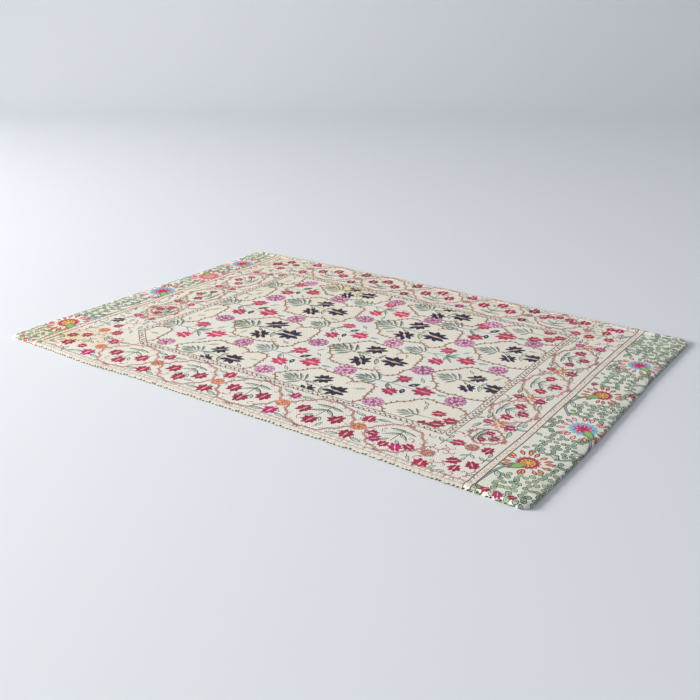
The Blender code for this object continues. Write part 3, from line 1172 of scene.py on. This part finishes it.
class Value:
    """A number in a material, which Python's own signs join to others."""

    def __init__(self, nodes, socket):
        self.nodes = nodes
        self.socket = socket

    def __add__(self, other):
        return self.nodes.maths("ADD", self, other)

    def __sub__(self, other):
        return self.nodes.maths("SUBTRACT", self, other)

    def __mul__(self, other):
        return self.nodes.maths("MULTIPLY", self, other)

    def __truediv__(self, other):
        return self.nodes.maths("DIVIDE", self, other)

    def __rsub__(self, other):
        return self.nodes.maths("SUBTRACT", other, self)

    __radd__ = __add__
    __rmul__ = __mul__

    def clamped(self):
        return self.nodes.maths("ADD", self, 0.0, use_clamp=True)

    def between(self, low, high):
        """0 under low, 1 over high, and eased between them."""
        return self.nodes.ranged(self, low, high)


class Nodes:
    """Builds one material's nodes."""

    def __init__(self, name, roughness):
        self.material = bpy.data.materials.new(name)
        self.material.use_nodes = True
        self.tree = self.material.node_tree
        self.shader = self.tree.nodes["Principled BSDF"]
        self.shader.inputs["Roughness"].default_value = roughness
        self.shader.inputs["Metallic"].default_value = 0.0

    def feed(self, socket, value):
        if isinstance(value, Value):
            value = value.socket
        if isinstance(value, bpy.types.NodeSocket):
            self.tree.links.new(value, socket)
        else:
            socket.default_value = value

    def add(self, kind, inputs=(), **settings):
        """A node of a kind with its settings, and its inputs by name or number."""
        node = self.tree.nodes.new(kind)
        for name, value in settings.items():
            setattr(node, name, value)
        for name, value in dict(inputs).items():
            self.feed(node.inputs[name], value)
        return node

    def maths(self, operation, first, second, use_clamp=False):
        node = self.add("ShaderNodeMath", {0: first, 1: second}, operation=operation, use_clamp=use_clamp)
        return Value(self, node.outputs[0])

    def ranged(self, value, low, high):
        node = self.add("ShaderNodeMapRange", {"Value": value, "From Min": low, "From Max": high},
                        interpolation_type="SMOOTHSTEP")
        return Value(self, node.outputs[0])

    def sine(self, value):
        return self.maths("SINE", value, 0.0)

    def attribute(self, name):
        return self.add("ShaderNodeAttribute", attribute_name=name)

    def split(self, vector):
        node = self.add("ShaderNodeSeparateXYZ", {0: vector})
        return [Value(self, socket) for socket in node.outputs]

    def joined(self, x, y, z=0.0):
        return self.add("ShaderNodeCombineXYZ", {0: x, 1: y, 2: z}).outputs[0]

    def noise(self, place, scale, detail=2.0, roughness=0.5):
        node = self.add("ShaderNodeTexNoise", {"Vector": place, "Scale": scale, "Detail": detail,
                                               "Roughness": roughness})
        return Value(self, node.outputs["Fac"])

    def mixed(self, share, first, second, blend="MIX"):
        """Two colours mixed by a share."""
        node = self.add("ShaderNodeMix", data_type="RGBA", blend_type=blend)
        for number, value in ((0, share), (6, first), (7, second)):
            self.feed(node.inputs[number], value)
        return node.outputs[2]

    def scaled(self, colour, factor):
        """A colour made darker or lighter by a factor."""
        if isinstance(colour, tuple):
            colour = colour[:3]
        node = self.add("ShaderNodeVectorMath", {0: colour, "Scale": factor}, operation="SCALE")
        return node.outputs[0]

    def bump(self, height, distance, strength=1.0):
        node = self.add("ShaderNodeBump", {"Height": height, "Distance": distance, "Strength": strength})
        self.feed(self.shader.inputs["Normal"], node.outputs[0])


# The weave's pitches and the bump of its threads
WARP_PITCH = 1.5
WEFT_PITCH = 1.9
THREAD_BUMP = 0.0009

# The cloth's colour under thin ink, and what it is multiplied by where it is warm, stained, cool or rosy
BARE_THREAD = (236, 226, 208)
WARM_TINT = (250, 232, 192)
STAIN_TINT = (246, 222, 162)
COOL_TINT = (238, 250, 244)
ROSY_TINT = (255, 238, 238)
# Yellowed places: middle along and across, half length, half depth, strength
STAINS = ((-392, -262, 70, 40, 0.42), (-150, 196, 60, 22, 0.42), (-330, -236, 80, 46, 0.25))


def srgb(red, green, blue):
    return (*linear(np.array((red, green, blue)) / 255), 1.0)


def tinted(nodes, share, colour, tint):
    """A colour multiplied by a tint, as far as the share says."""
    return nodes.mixed(share, colour, nodes.mixed(1.0, colour, srgb(*tint), "MULTIPLY"))


def stained(x, y, start):
    """How stained each place is: the start with every yellowed place added, kept between 0 and 1."""
    for left, near, wide, deep, share in STAINS:
        across = (x - left) * (x - left) / wide ** 2
        along = (y - near) * (y - near) / deep ** 2
        start = start + (1.0 - across - along).between(0.0, 0.9) * share
    return start.clamped()


def cloth_material():
    """Printed woven cloth: inks that follow the threads, a plain weave, and faint aged patches."""
    nodes = Nodes("rug_printed_cloth", 0.93)
    ink = nodes.attribute("ink")
    weave = nodes.attribute("weave")
    x, y, thread = nodes.split(weave.outputs["Vector"])
    inked = Value(nodes, ink.outputs["Alpha"])
    flat = nodes.joined(x, y)
    patches = nodes.noise(flat, 0.012, 3.0)
    grain = nodes.noise(flat, 0.55, 3.0, 0.75)
    tint = nodes.noise(nodes.joined(x + 900, y), 0.3, 2.0, 0.6)
    blotch = nodes.noise(flat, 0.16, 2.0)

    # Ink lies in streaks along each motif's threads, and the cloth shows through in flecks
    cosine = nodes.maths("COSINE", thread, 0.0)
    sine = nodes.sine(thread)
    along = x * cosine + y * sine
    across = y * cosine - x * sine
    streak = nodes.noise(nodes.joined(along * 0.22, across * 1.3), 1.0, 2.0, 0.6)
    pale = (streak.between(0.56, 0.76) * 0.18 + blotch.between(0.6, 0.85) * 0.12) * inked
    colour = nodes.mixed(pale, ink.outputs["Color"], srgb(*BARE_THREAD))

    # The ground is warmer towards the far left and in old patches, and varies a little from thread to thread
    warm = ((y * 0.9 - x * 0.7) / 900 + 0.1 + (patches - 0.5) * 1.6).clamped()
    colour = tinted(nodes, warm * 0.38, colour, WARM_TINT)
    colour = tinted(nodes, stained(x, y, patches * 0.0), colour, STAIN_TINT)
    colour = tinted(nodes, tint.between(0.50, 0.66) * 0.5, colour, COOL_TINT)
    colour = tinted(nodes, (1.0 - tint).between(0.50, 0.66) * 0.5, colour, ROSY_TINT)
    tone = 0.59 + grain * 0.80 + (streak - 0.5) * inked * 0.35
    nodes.feed(nodes.shader.inputs["Base Color"], nodes.scaled(colour, tone))

    # Warp and weft pass over and under each other
    turn_x = x * (math.pi / WARP_PITCH)
    turn_y = y * (math.pi / WEFT_PITCH)
    threads = nodes.sine(turn_x) * nodes.sine(turn_y) * 0.5 + 0.5
    nodes.bump(threads * 0.4 + grain * 0.6, THREAD_BUMP)
    return nodes.material


def stitch_material():
    """Cream sewing thread, twisted."""
    nodes = Nodes("hem_thread", 0.85)
    place = nodes.add("ShaderNodeTexCoord").outputs["Object"]
    x, y, z = nodes.split(place)
    twist = nodes.sine((x + y) * 5200 + z * 3000)
    fuzz = nodes.noise(place, 900.0)
    nodes.feed(nodes.shader.inputs["Base Color"],
               nodes.scaled(srgb(226, 220, 202), 0.88 + twist * 0.05 + fuzz * 0.16))
    nodes.bump(twist * 0.5 + fuzz * 0.5, 0.0001)
    return nodes.material


def floor_material():
    """A plain matt studio floor."""
    nodes = Nodes("studio_floor", 0.9)
    place = nodes.add("ShaderNodeTexCoord").outputs["Object"]
    cloud = nodes.noise(place, 1.3)
    nodes.feed(nodes.shader.inputs["Base Color"], nodes.scaled(srgb(224, 227, 232), 0.99 + cloud * 0.02))
    return nodes.material


# The hem's stitches

STITCH_LENGTH = 2.6
STITCH_WIDTH = 0.55
STITCH_PITCH = 4.4
STITCH_SEED = 3
SEAM_STEP = 6.0


def seam_line():
    """The seam as a closed line of edges that lies on the cloth."""
    places = rim(HEM + 0.4, SEAM_STEP)
    points = surface(places) * MM
    count = len(points)
    mesh = bpy.data.meshes.new("seam_line")
    mesh.from_pydata(points.tolist(), [(k, (k + 1) % count) for k in range(count)], [])
    return in_scene("seam_line", mesh)


def named_input(group, name, kind, value):
    """A named input of a node group; its identifier sets it on the modifier."""
    socket = group.interface.new_socket(name, in_out="INPUT", socket_type=kind)
    return socket.identifier, value


def stitch_group(material):
    """Nodes that lay small stitches along a line: the group, and its inputs' values."""
    group = bpy.data.node_groups.new("hem_stitching", "GeometryNodeTree")
    group.interface.new_socket("Line", in_out="INPUT", socket_type="NodeSocketGeometry")
    group.interface.new_socket("Stitches", in_out="OUTPUT", socket_type="NodeSocketGeometry")
    values = [named_input(group, "Stitch length", "NodeSocketFloat", STITCH_LENGTH * MM),
              named_input(group, "Stitch width", "NodeSocketFloat", STITCH_WIDTH * MM),
              named_input(group, "Pitch", "NodeSocketFloat", STITCH_PITCH * MM),
              named_input(group, "Seed", "NodeSocketInt", STITCH_SEED)]

    def node(kind, inputs=(), **settings):
        made = group.nodes.new(kind)
        for name, value in settings.items():
            setattr(made, name, value)
        for name, value in dict(inputs).items():
            if isinstance(value, bpy.types.NodeSocket):
                group.links.new(value, made.inputs[name])
            else:
                made.inputs[name].default_value = value
        return made

    given = node("NodeGroupInput").outputs
    path = node("GeometryNodeMeshToCurve", {"Mesh": given["Line"]})
    points = node("GeometryNodeResampleCurve", {"Curve": path.outputs[0], "Length": given["Pitch"]},
                  mode="LENGTH")
    tangent = node("GeometryNodeInputTangent")
    turn = node("FunctionNodeAlignRotationToVector", {"Vector": tangent.outputs[0]}, axis="X")
    wobble = node("FunctionNodeRandomValue", {"Min": (0.85, 0.85, 0.85), "Max": (1.12, 1.15, 1.1),
                                              "Seed": given["Seed"]}, data_type="FLOAT_VECTOR")
    size = node("ShaderNodeCombineXYZ", {0: given["Stitch length"], 1: given["Stitch width"],
                                         2: given["Stitch width"]})
    shaped = node("ShaderNodeVectorMath", {0: size.outputs[0], 1: wobble.outputs[0]}, operation="MULTIPLY")
    grain = node("GeometryNodeMeshUVSphere", {"Segments": 6, "Rings": 4, "Radius": 0.5})
    smooth = node("GeometryNodeSetShadeSmooth", {"Geometry": grain.outputs[0]})
    laid = node("GeometryNodeInstanceOnPoints", {"Points": points.outputs[0], "Instance": smooth.outputs[0],
                                                 "Rotation": turn.outputs[0], "Scale": shaped.outputs[0]})
    real = node("GeometryNodeRealizeInstances", {"Geometry": laid.outputs[0]})
    finished = node("GeometryNodeSetMaterial", {"Geometry": real.outputs[0], "Material": material})
    group.links.new(finished.outputs[0], node("NodeGroupOutput").inputs["Stitches"])
    return group, values


def stitches_piece():
    """The hem's row of stitches as a plain mesh."""
    line = seam_line()
    group, values = stitch_group(stitch_material())
    modifier = line.modifiers.new("stitching", "NODES")
    modifier.node_group = group
    for identifier, value in values:
        modifier[identifier] = value
    graph = bpy.context.evaluated_depsgraph_get()
    mesh = bpy.data.meshes.new_from_object(line.evaluated_get(graph), preserve_all_data_layers=True,
                                           depsgraph=graph)
    mesh.name = "hem_stitches"
    bpy.data.objects.remove(line, do_unlink=True)
    return in_scene("hem_stitches", mesh)


# The studio

VIEW_TURN = math.radians(34.89)
VIEW_TILT = math.radians(68.04)
CAMERA_PLACE = (0.7831, -1.1200, 0.5347)
LENS = 47.03
COVE_START = 4.0
COVE_RADIUS = 1.6
WALL_TOP = 5.0
COVE_STEPS = 16
STAGE_HALF_WIDTH = 9.0
SKY_COLOUR = (0.93, 0.96, 1.0, 1.0)
SKY_STRENGTH = 0.42


def turned(across, away):
    """A place on the floor from how far it is to the camera's right and how far away from the camera."""
    cosine = math.cos(VIEW_TURN)
    sine = math.sin(VIEW_TURN)
    return (CAMERA_PLACE[0] + across * cosine - away * sine, CAMERA_PLACE[1] + across * sine + away * cosine)


def stage_piece():
    """The floor, which curves up into a wall behind the rug."""
    profile = [(-4.0, 0.0), (0.5, 0.0), (2.5, 0.0)]
    for step in range(COVE_STEPS + 1):
        angle = math.pi / 2 * step / COVE_STEPS
        profile.append((COVE_START + COVE_RADIUS * math.sin(angle), COVE_RADIUS * (1 - math.cos(angle))))
    profile.append((COVE_START + COVE_RADIUS, WALL_TOP))
    verts = [(*turned(side * STAGE_HALF_WIDTH, away), height) for side in (-1, 1) for away, height in profile]
    count = len(profile)
    faces = [(k, count + k, count + k + 1, k + 1) for k in range(count - 1)]
    mesh = bpy.data.meshes.new("studio_floor")
    mesh.from_pydata(verts, [], faces)
    mesh.shade_smooth()
    mesh.materials.append(floor_material())
    return in_scene("studio_floor", mesh)


def area_light(name, place, target, size, power, colour=(1.0, 1.0, 1.0)):
    light = bpy.data.lights.new(name, "AREA")
    light.shape = "RECTANGLE"
    light.size, light.size_y = size
    light.energy = power
    light.color = colour
    lamp = in_scene(name, light)
    lamp.location = place
    lamp.rotation_euler = (Vector(target) - Vector(place)).to_track_quat("-Z", "Y").to_euler()


def light_studio():
    """A broad soft light from the left, weak ones from the front and on the wall, and pale surroundings."""
    world = bpy.data.worlds.new("studio")
    world.use_nodes = True
    background = world.node_tree.nodes["Background"]
    background.inputs["Color"].default_value = SKY_COLOUR
    background.inputs["Strength"].default_value = SKY_STRENGTH
    bpy.context.scene.world = world
    area_light("key", (-3.4, -2.45, 1.4), (0.45, -1.12, 0.0), (2.2, 1.3), 338.0, (1.0, 0.99, 0.97))
    area_light("fill", (-1.7, -2.8, 1.3), (-0.3, -1.35, 0.0), (1.0, 1.0), 4.0)
    wall_place = (*turned(-2.2, 3.2), 3.2)
    wall_target = (*turned(-1.0, 5.6), 1.4)
    area_light("wall light", wall_place, wall_target, (2.0, 1.0), 1.5)


def place_camera():
    data = bpy.data.cameras.new("camera")
    data.lens = LENS
    data.sensor_width = 36.0
    camera = in_scene("camera", data)
    camera.location = CAMERA_PLACE
    camera.rotation_euler = (VIEW_TILT, 0.0, VIEW_TURN)
    bpy.context.scene.camera = camera


place_camera()
rug_cloth = sheet_piece()
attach(rug_cloth, "root")
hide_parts("rug")
hem_stitches = stitches_piece()
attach(hem_stitches, "root")
stage_piece()
light_studio()
bpy.context.scene.view_settings.view_transform = "Standard"
